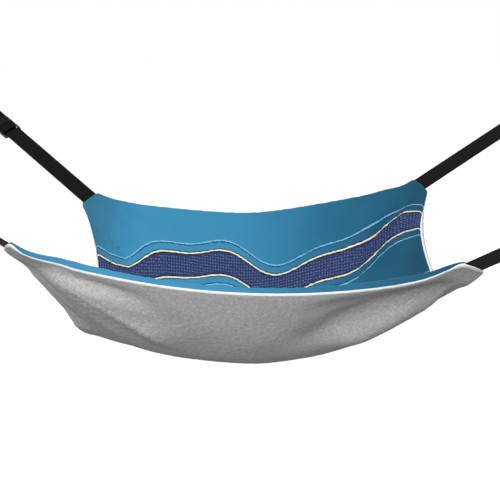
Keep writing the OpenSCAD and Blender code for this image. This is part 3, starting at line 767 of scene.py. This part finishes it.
# A short cloth simulation of the pad's middle layer, for the small creases of real fabric
def drapeLayer(points, faces, fromRim, fromTip, spec):
    mesh = bpy.data.meshes.new("pad_middle")
    mesh.from_pydata([tuple(p) for p in toRow(points)], [], [tuple(f) for f in faces])
    layer = bpy.data.objects.new("pad_middle", mesh)
    scene.collection.objects.link(layer)
    fades = 1 - easeOver(fromRim, spec["rimHeld"]), 1 - easeOver(fromTip, spec["tipHeld"])
    held = layer.vertex_groups.new(name="held")
    for index, weight in enumerate(mix(*spec["hold"], np.maximum(*fades))):
        held.add([index], float(weight), "REPLACE")
    cloth = layer.modifiers.new("drape", "CLOTH")
    for key, value in spec["cloth"].items():
        setattr(cloth.settings, key, value)
    cloth.settings.vertex_group_mass = held.name
    cloth.settings.effector_weights.gravity = spec["weight"]
    cloth.collision_settings.use_collision = False
    cloth.point_cache.frame_end = spec["frames"]
    for step in range(1, spec["frames"] + 1):
        scene.frame_set(step)
    result = layer.evaluated_get(bpy.context.evaluated_depsgraph_get()).data
    place = np.zeros(len(points) * 3)
    result.vertices.foreach_get("co", place)
    moved = place.reshape(-1, 3) / mm + rowOrigin - points
    scene.frame_set(1)
    bpy.data.objects.remove(layer)
    bpy.data.meshes.remove(mesh)
    far = np.linalg.norm(moved, axis=1, keepdims=True)
    return points + moved * np.minimum(1, spec["furthest"] / np.maximum(far, tiny))


# Everything that both covers and the wadding share: a grid on the middle layer and the frame along its rim
def makePadGrid(spec):
    u, v = (a.ravel() for a in np.meshgrid(gridShare(spec["cellsU"]), gridShare(spec["cellsV"])))
    fromSide, fromLong = (1 - np.abs(u)) * bed["halfWidth"], (1 - np.abs(v)) * bed["halfDepth"]
    fromRim = np.minimum(fromSide, fromLong)
    inset = mix(spec["tipInset"], spec["inset"], easeOver(np.hypot(fromSide, fromLong), spec["insetGrows"]))
    uIn, vIn = u * (1 - inset / bed["halfWidth"]), v * (1 - inset / bed["halfDepth"])
    flat = np.stack((u * spec["flatWidth"], v * spec["flatDepth"]), -1) / 2
    folded, normal = bedFolded(uIn, vIn), bedNormal(uIn, vIn)
    place = bedPulled(uIn, vIn) + sum(cornerSpread(c, u, v, folded) for c in corners.values())
    reach = cornerReach(place)
    shown = easeOver(reach, spec["reliefGrows"])
    place = place + normal * (padRelief(u, v, flat, fromRim, spec["sway"]) * shown)[:, None]
    for name, (depth, far, spread) in spec["tipSag"].items():
        away = np.linalg.norm(place - corners[name]["tip"], axis=-1)
        place[:, 2] -= depth * np.exp(-((away - far) / spread) ** 2)
    flare, at, spread = spec["flare"]
    place[:, 0] += flare * ease(2 * u - 1) * np.exp(-((v - at) / spread) ** 2)

    row = spec["cellsU"] + 1
    first = (np.arange(spec["cellsV"])[:, None] * row + np.arange(spec["cellsU"])[None]).ravel()
    faces = np.stack((first, first + 1, first + row + 1, first + row), -1)
    place = drapeLayer(place, faces, fromRim, reach, drape)
    net = place.reshape(-1, row, 3)
    across = unit(np.cross(np.gradient(net, axis=1), np.gradient(net, axis=0))).reshape(-1, 3)
    normal = unit(mix(normal, across, shown[:, None]))

    # half the thickness at each point
    full = easeOver(reach, spec["tipReach"])
    rim, inner = (mix(spec["tipRadius"], spec[k], full) for k in ("rimRadius", "half"))
    pucker, way = spec["pucker"], np.where(fromSide < fromLong, flat[:, 1], flat[:, 0])
    gathers = pucker["height"] * waves(way, pucker["lengths"]) * full * np.exp(-fromRim / pucker["reach"])
    half = inner + (rim - inner) * np.exp(-(fromRim / spec["rimReach"]) ** 2) + gathers

    loop = rimLoop(spec["cellsU"], spec["cellsV"])
    tangent = unit(np.roll(place[loop], -1, 0) - np.roll(place[loop], 1, 0))
    out = unit(np.cross(tangent, normal[loop]))
    # 0 on the long rims, 1 on the side rims, and half at a corner
    fromSide, fromLong, turn = fromSide[loop], fromLong[loop], spec["cornerTurn"]
    sideShare = np.where(
        fromLong < fromSide, 0.5 * (1 - ease(fromSide / turn["long"])),
        1 - 0.5 * (1 - ease(fromLong / turn["side"])))
    return {"middle": place, "normal": normal, "faces": faces, "half": half, "flat": flat,
            "loop": loop, "out": out, "sideShare": sideShare}


padGrid = makePadGrid(pad)
print("pad draped")


# One cover: the grid on its side of the pad, then rows round the rim's roll, and a tuck into the seam
def coverPiece(name, side, rows, materials):
    grid = padGrid
    points = [grid["middle"] + grid["normal"] * (side * grid["half"])[:, None]]
    flat = [grid["flat"]]
    loop, count = grid["loop"], len(grid["loop"])
    centre, normal, out = grid["middle"][loop], grid["normal"][loop], grid["out"]
    radius = grid["half"][loop]
    away = unit(grid["flat"][loop] / np.array((pad["flatWidth"], pad["flatDepth"])))
    faces = list(grid["faces"] if side > 0 else grid["faces"][:, ::-1])
    faceMaterial = [0] * len(faces)
    previous = loop
    total = len(grid["middle"])
    turned = np.full(count, math.radians(90.0 * side))
    length = np.zeros(count)
    for angle, shrink, kind in rows:
        now = np.radians(angle)
        length = length + np.abs(now - turned) * radius
        turned = now
        r = radius - shrink
        points.append(centre + out * (r * np.cos(now))[:, None] + normal * (r * np.sin(now))[:, None])
        flat.append(grid["flat"][loop] + away * length[:, None])
        current = total + np.arange(count)
        nextCurrent, nextPrevious = np.roll(current, -1), np.roll(previous, -1)
        ring = np.stack((previous, current, nextCurrent, nextPrevious), -1)
        faces.extend(ring if side > 0 else ring[:, ::-1])
        faceMaterial.extend([kind] * count)
        previous = current
        total += count
    return addPiece(name, np.concatenate(points), faces, np.concatenate(flat), materials, faceMaterial)


def seamAngle(pair):
    return mix(pair["long"], pair["side"], padGrid["sideShare"])


# Rows of points from one angle of the roll to another
def rollRows(start, end, count, kind):
    return [(mix(start, end, k / count), 0, kind) for k in range(1, count + 1)]


printEnd, seamEnd, rows = seamAngle(pad["printEnd"]), seamAngle(pad["seam"]), pad["rollRows"]
# between the print's end and the seam the roll is painted white, as the highlight of the rolled edge
topRows = rollRows(90, printEnd, rows["print"], 0) + rollRows(printEnd, seamEnd, rows["white"], 1)
topCloth = coverPiece("top_cloth", 1, topRows + [(seamEnd, pad["tuck"], 1)], [printedPolyester, seamHighlightWhite])
bottomRows = rollRows(-90, seamEnd, rows["woven"], 0)
bottomCloth = coverPiece("bottom_cloth", -1, bottomRows + [(seamEnd, pad["tuck"], 0)], [oxfordCloth])

for cloth, node, slot in (
        (topCloth, "top_cover", "printed_cloth"), (bottomCloth, "bottom_cover", "woven_cloth")):
    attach(cloth, "bed")
    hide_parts(node)
    solid = cloth.modifiers.new("thickness", "SOLIDIFY")
    solid.thickness = pad["clothThickness"] * mm
    solid.offset = -1


filling = {
    "clear": 0.25,  # from the covers
    "least": 0.3,  # half its thickness
    "edge": 0.9,  # how far it reaches into the rim's roll
}


# Wadding between the covers: a closed lens a little inside them
def waddingPiece(spec):
    grid = padGrid
    half = np.maximum(grid["half"] - pad["clothThickness"] - spec["clear"], spec["least"])
    upper = grid["middle"] + grid["normal"] * half[:, None]
    lower = grid["middle"] - grid["normal"] * half[:, None]
    count, loop = len(half), grid["loop"]
    edge = grid["middle"][loop] + grid["out"] * (half[loop] * spec["edge"])[:, None]
    edgeIndex = 2 * count + np.arange(len(loop))
    nextLoop, nextEdge = np.roll(loop, -1), np.roll(edgeIndex, -1)
    faces = list(grid["faces"]) + list(grid["faces"][:, ::-1] + count)
    faces += list(np.stack((loop, edgeIndex, nextEdge, nextLoop), -1))
    faces += list(np.stack((edgeIndex, loop + count, nextLoop + count, nextEdge), -1))
    flat = np.concatenate((grid["flat"], grid["flat"], grid["flat"][loop]))
    return addPiece("wadding_pad", np.concatenate((upper, lower, edge)), faces, flat, [waddingFibre])


waddingPad = waddingPiece(filling)
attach(waddingPad, "bed")
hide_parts("wadding")
print("bed made")


# Points along a line of corners, each corner rounded, no further apart than step
def roundedPath(knots, radius, step, most=0.48, arcPoints=7):
    pts = [np.array(p, float) for p in knots]
    line = [pts[0]]
    for before, here, after in zip(pts, pts[1:], pts[2:]):
        a, b = before - here, after - here
        cut = min(radius, np.linalg.norm(a) * most, np.linalg.norm(b) * most)
        start, end = here + unit(a) * cut, here + unit(b) * cut
        for s in np.linspace(0, 1, arcPoints):
            line.append((1 - s) ** 2 * start + 2 * s * (1 - s) * here + s * s * end)
    line.append(pts[-1])
    filled = [line[0]]
    for p in line[1:]:
        start = filled[-1]
        gap = np.linalg.norm(p - start)
        parts = max(1, math.ceil(gap / step))
        filled += [start + (p - start) * k / parts for k in range(1, parts + 1) if gap > 1e-6]
    return np.array(filled)


# How the webbing's section thins at its edges: distance from the edge, and share of the thickness
selvedge = [(0.35, 1.0), (0.1, 0.7), (0, 0.25)]
sectionFlat = {"margin": 1.2, "points": 9}


# A webbing strip whose middle follows points of (along, off) in a strap's own frame
def webbingPiece(name, corner, path):
    half, thick = strap["width"] / 2, strap["thickness"] / 2
    edge = [(half - inside, share) for inside, share in selvedge]
    flatHalf = half - sectionFlat["margin"]
    upper = [(y, 1.0) for y in np.linspace(-flatHalf, flatHalf, sectionFlat["points"])] + edge
    ring = [(-y, h) for y, h in reversed(edge)] + upper
    ring = ring + [(y, -h) for y, h in reversed(ring)]
    way = unit(np.gradient(path, axis=0))
    side = np.stack((-way[:, 1], way[:, 0]), -1)
    length = np.concatenate(([0], np.cumsum(np.linalg.norm(np.diff(path, axis=0), axis=1))))
    points, flat = [], []
    for (t, n), (st, sn), far in zip(path, side, length):
        for y, h in ring:
            points.append(strapPoint(corner, t + st * h * thick, y, n + sn * h * thick))
            flat.append((far, y))
    k = len(ring)
    faces = [
        (i * k + j, i * k + (j + 1) % k, (i + 1) * k + (j + 1) % k, (i + 1) * k + j)
        for i in range(len(path) - 1) for j in range(k)
    ]
    faces.append(tuple(reversed(range(k))))
    faces.append(tuple((len(path) - 1) * k + j for j in range(k)))
    return addPiece(name, points, faces, flat, [webbing])


# A round wire or thread along points in the bed's frame, thinner where its share is lower; its section starts
# from a direction that none of the lines follows
def roundPiece(name, lines, radius, sides, material, shares=None, aside=(0.31, 0.77, 0.56)):
    points, flat, faces = [], [], []
    for line in lines:
        way = unit(np.gradient(line, axis=0))
        first = unit(np.cross(way, unit(np.cross(way[len(way) // 2], aside))))
        other = np.cross(way, first)
        far = np.concatenate(([0], np.cumsum(np.linalg.norm(np.diff(line, axis=0), axis=1))))
        size = radius * (np.ones(len(line)) if shares is None else np.asarray(shares))
        base = len(points)
        for i, p in enumerate(line):
            for k in range(sides):
                turn = 2 * math.pi * k / sides
                points.append(p + size[i] * (math.cos(turn) * first[i] + math.sin(turn) * other[i]))
                flat.append((far[i], radius * turn))
        for i in range(len(line) - 1):
            for k in range(sides):
                a, b = base + i * sides + k, base + i * sides + (k + 1) % sides
                faces.append((a, b, b + sides, a + sides))
        faces.append(tuple(base + k for k in reversed(range(sides))))
        faces.append(tuple(base + (len(line) - 1) * sides + k for k in range(sides)))
    return addPiece(name, points, faces, flat, [material])


sliderSpec = {
    "length": 24,
    "thickness": 3,
    "endBar": 3.5,
    "middleBar": 4.5,
    "reach": 15,  # webbing counted with the slider, on each side of its middle
    "bend": 6,  # the webbing bends over this length past the hinge line
    "lead": 3,  # the second strand slopes over this length before the middle bar
    "dip": 1.0,  # height over the bar's middle at which it turns down
    "fold": (0.6, 0.5),  # where its end turns back over itself, inside the bar's edge and above the bar
    "sewnGap": 0.1,  # between a strand and the end sewn on it
    "endShort": 1,
    "underRound": 1.4,  # radius of the webbing's bends
    "round": 1.5,
}
# the strand's two sides close in on the eye bar before it, and meet its curve
eyeLoop = {"lead": 6, "meet": 0.5, "round": 3, "points": 19}
webbingStep = {"root": 0.75, "run": 2, "slider": 1.5, "loop": 2}  # between points along the webbing

toFace = strap["gap"] + strap["thickness"] / 2  # from hardware to the middle of the webbing
sliderLevel = -(sliderSpec["thickness"] / 2 + toFace)
ringLength = sliderSpec["middleBar"] / 2 + toFace
ringHeight = sliderSpec["thickness"] / 2 + toFace
underLevel = sliderLevel - ringHeight - strap["gap"] - strap["thickness"]
downStart = sliderSpec["length"] / 2 - sliderSpec["endBar"] - toFace
downEnd = (downStart + ringLength + strap["thickness"] / 2) / 2
sliderAt = strap["run"]
runEnd, loopStart = sliderAt - sliderSpec["reach"], sliderAt + sliderSpec["reach"]
second = strap["secondLevel"]
third = second + strap["thickness"] + sliderSpec["sewnGap"]
wrap = strap["eyeBar"] + toFace
ringIn, ringOut = sliderAt - ringLength, sliderAt + ringLength
ringLow, ringTop = sliderLevel - ringHeight, sliderLevel + ringHeight

underPath = roundedPath([
    (runEnd, 0), (sliderAt - downStart, 0), (sliderAt - downEnd, underLevel),
    (sliderAt + downEnd, underLevel), (sliderAt + downStart, 0), (loopStart, 0),
], sliderSpec["underRound"], webbingStep["slider"])
# the second strand goes round the middle bar and its end is sewn back on top of itself
sewnPath = roundedPath([
    (loopStart, second), (ringOut + sliderSpec["lead"], second), (ringOut, sliderLevel + sliderSpec["dip"]),
    (ringOut, ringLow), (ringIn, ringLow), (ringIn, ringTop),
    (ringOut - sliderSpec["fold"][0], ringTop + sliderSpec["fold"][1]),
    (ringOut + sliderSpec["lead"], third), (loopStart - sliderSpec["endShort"], third),
], sliderSpec["round"], webbingStep["slider"])
eyeMiddle = second / 2
leadAt, meetAt = strap["eye"] - eyeLoop["lead"], strap["eye"] - eyeLoop["meet"]
eyeLow, eyeTop = eyeMiddle - wrap, eyeMiddle + wrap
arc = np.radians(np.linspace(-90, 90, eyeLoop["points"]))
loopPath = np.concatenate((
    roundedPath([(loopStart, 0), (leadAt, eyeLow), (meetAt, eyeLow)], eyeLoop["round"], webbingStep["loop"]),
    np.stack((strap["eye"] + wrap * np.cos(arc), eyeMiddle + wrap * np.sin(arc)), -1),
    roundedPath([(meetAt, eyeTop), (leadAt, eyeTop), (loopStart, second)], eyeLoop["round"], webbingStep["loop"]),
))

# Box of stitches with a cross on the sewn end
stitch = {
    "box": (7.5, 13.1),  # past the slider's middle
    "half": 7.6,
    "length": 1.9,
    "every": 2.4,
    "radius": 0.22,
    "lift": 0.18,  # its middle above the webbing
    "dive": 1.4,  # how steeply its ends go in
    "sides": 6,
    "shares": (0.6, 1, 1, 1, 0.6),  # of the radius along a stitch
}


def stitchLines(corner, spec):
    a, b, half = sliderAt + spec["box"][0], sliderAt + spec["box"][1], spec["half"]
    knots = [(a, -half), (b, -half), (b, half), (a, half), (a, -half), (b, half)], [(a, half), (b, -half)]
    height = third + strap["thickness"] / 2
    places = np.linspace(-0.5, 0.5, len(spec["shares"]))
    lines = []
    for path in knots:
        for p, q in zip(path, path[1:]):
            p, q = np.array(p), np.array(q)
            count = max(1, round(np.linalg.norm(q - p) / spec["every"]))
            for k in range(count):
                at, way = p + (q - p) * (k + 0.5) / count, unit(q - p)
                lines.append(np.array([
                    strapPoint(
                        corner, *(at + way * x * spec["length"]), height + spec["lift"] - spec["dive"] * x * x)
                    for x in places]))
    return lines


for name, corner in corners.items():
    bend = sliderSpec["bend"]
    rootPath = roundedPath([(-strap["root"], 0), (bend, 0)], bend, webbingStep["root"])
    root = webbingPiece("webbing_root_" + name, corner, rootPath)
    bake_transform(root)
    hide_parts("strap_root_" + name)
    runPath = roundedPath([(bend, 0), (runEnd, 0)], bend, webbingStep["run"])
    run = webbingPiece("webbing_run_" + name, corner, runPath)
    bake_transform(run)
    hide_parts("strap_run_" + name)
    under = webbingPiece("webbing_under_bar_" + name, corner, underPath)
    sewn = webbingPiece("webbing_sewn_end_" + name, corner, sewnPath)
    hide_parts("strap_weave_" + name)
    loop = webbingPiece("webbing_loop_" + name, corner, loopPath)
    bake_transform(loop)
    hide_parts("strap_loop_" + name)
    stitches = roundPiece(
        "stitches_" + name, stitchLines(corner, stitch), stitch["radius"], stitch["sides"],
        thread, stitch["shares"])
    for piece in (under, sewn, stitches):
        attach(piece, name + "_slider")
print("webbing made")

coil = {"turns": 5, "radius": 1.9, "wire": 0.3, "steps": 20, "sides": 8}


# A fine coil in the place of the solid part's spring
def springPiece(name, corner, spec):
    node = frame["nodes"]["spring_" + name]
    local = np.array([v.co for v in node.data.vertices]) / mm + rowOrigin - corner["hinge"]
    far, level = local @ corner["along"], local @ corner["off"]
    low, high, height = far.min() + spec["wire"], far.max() - spec["wire"], (level.min() + level.max()) / 2
    turn = np.linspace(0, 2 * math.pi * spec["turns"], spec["turns"] * spec["steps"] + 1)
    line = np.array([
        strapPoint(
            corner, mix(low, high, a / turn[-1]), spec["radius"] * math.cos(a),
            height + spec["radius"] * math.sin(a))
        for a in turn])
    piece = roundPiece("bolt_spring_" + name, [line], spec["wire"], spec["sides"], springSteel)
    ends = [toRow(strapPoint(corner, t, 0, height)) for t in (low, high)]
    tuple(ends[0])
    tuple(ends[1])
    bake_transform(piece)
    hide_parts("spring_" + name)


for name, corner in corners.items():
    springPiece(name, corner, coil)

# Sliders, eyes, snap hooks and bolts keep the solid part's shape, with fine edges
hardware = {
    "slider": (acetal, 0.5),
    "eye": (nickelPlate, 0.45),
    "snap": (nickelPlate, 0.45),
    "bolt": (boltSteel, 0.2),
}
edging = {
    "join": 0.01,  # points this close become one
    "segments": 3,
    "angle": 35,  # degrees from which an edge is rounded
}
for node, obj in frame["nodes"].items():
    kind = node.split("_")[0]
    if kind in hardware:
        material, edge = hardware[kind]
        obj.data.materials.clear()
        obj.data.materials.append(material)
        weld = obj.modifiers.new("join", "WELD")
        weld.merge_threshold = edging["join"] * mm
        bevel = obj.modifiers.new("edge", "BEVEL")
        bevel.width = edge * mm
        bevel.segments = edging["segments"]
        bevel.limit_method = "ANGLE"
        bevel.angle_limit = math.radians(edging["angle"])
        bevel.harden_normals = True
print("hardware finished")

studio = {
    "floor": -640,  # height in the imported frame
    "floorHalf": 40000,
    "floorColour": "#7d7d7d",
    # near and far, for the eye only, so that the floor runs into the white background
    "floorGlow": (0.86, 1.0),
    "glowReach": (500, 2200),
    "ambient": 0.2,
}


# 1 for what the camera, a reflection or glass shows, 0 for light on the object
def seenShare(owner):
    path = addNode(owner, "ShaderNodeLightPath")
    seen = path.outputs["Is Camera Ray"]
    for ray in ("Is Glossy Ray", "Is Transmission Ray"):
        seen = addNode(owner, "ShaderNodeMath", {0: seen, 1: path.outputs[ray]}, operation="MAXIMUM").outputs[0]
    return seen


def addFloor(spec):
    m = newMaterial("pale_floor")
    place = addNode(m, "ShaderNodeTexCoord").outputs["Object"]
    away = addNode(m, "ShaderNodeVectorMath", {0: place}, operation="LENGTH").outputs["Value"]
    (near, far), (dim, white) = (x * mm for x in spec["glowReach"]), spec["floorGlow"]
    rising = addNode(m, "ShaderNodeMapRange", {
        0: away, 1: near, 2: far, 3: dim, 4: white}, interpolation_type="SMOOTHSTEP")
    glow = addNode(m, "ShaderNodeMath", {0: seenShare(m), 1: rising.outputs[0]}, operation="MULTIPLY")
    shader = addNode(m, "ShaderNodeBsdfPrincipled", {
        "Base Color": linear(spec["floorColour"]), "Roughness": 0.9, "Specular IOR Level": 0.1,
        "Emission Color": (1, 1, 1, 1), "Emission Strength": glow.outputs[0]})
    addNode(m, "ShaderNodeOutputMaterial", {"Surface": shader.outputs[0]})
    mesh = bpy.data.meshes.new("floor")
    half = spec["floorHalf"] * mm
    around = [(-half, -half, 0), (half, -half, 0), (half, half, 0), (-half, half, 0)]
    mesh.from_pydata(around, [], [(0, 1, 2, 3)])
    mesh.materials.append(m)
    floor = bpy.data.objects.new("floor", mesh)
    floor.location.z = spec["floor"] * mm
    scene.collection.objects.link(floor)


def addWorld(spec):
    world = bpy.data.worlds.new("studio")
    world.use_nodes = True
    scene.world = world
    world.node_tree.nodes.clear()
    strength = addNode(world, "ShaderNodeMapRange", {0: seenShare(world), 3: spec["ambient"], 4: 1.0})
    back = addNode(world, "ShaderNodeBackground", {0: (1, 1, 1, 1), 1: strength.outputs[0]})
    addNode(world, "ShaderNodeOutputWorld", {0: back.outputs[0]})


lampAim = (0, 0, -200)
lamps = {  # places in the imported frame, power in watts
    "key": {"place": (-200, -1550, 850), "size": 800, "power": 38},
    "fill": {"place": (1350, -1000, 450), "size": 1300, "power": 3},
    "back": {"place": (200, 1500, 900), "size": 1500, "power": 18},
}


def addLamp(name, spec):
    data = bpy.data.lights.new(name, "AREA")
    data.size = spec["size"] * mm
    data.energy = spec["power"]
    lamp = bpy.data.objects.new(name, data)
    place = np.array(spec["place"]) * mm
    lamp.location = place
    back = unit(place - np.array(lampAim) * mm)
    side = unit(np.cross((0, 0, 1), back))
    lamp.rotation_euler = Matrix((side, np.cross(back, side), back)).transposed().to_euler()
    scene.collection.objects.link(lamp)


addFloor(studio)
addWorld(studio)
for name, spec in lamps.items():
    addLamp(name, spec)
print("studio lit")
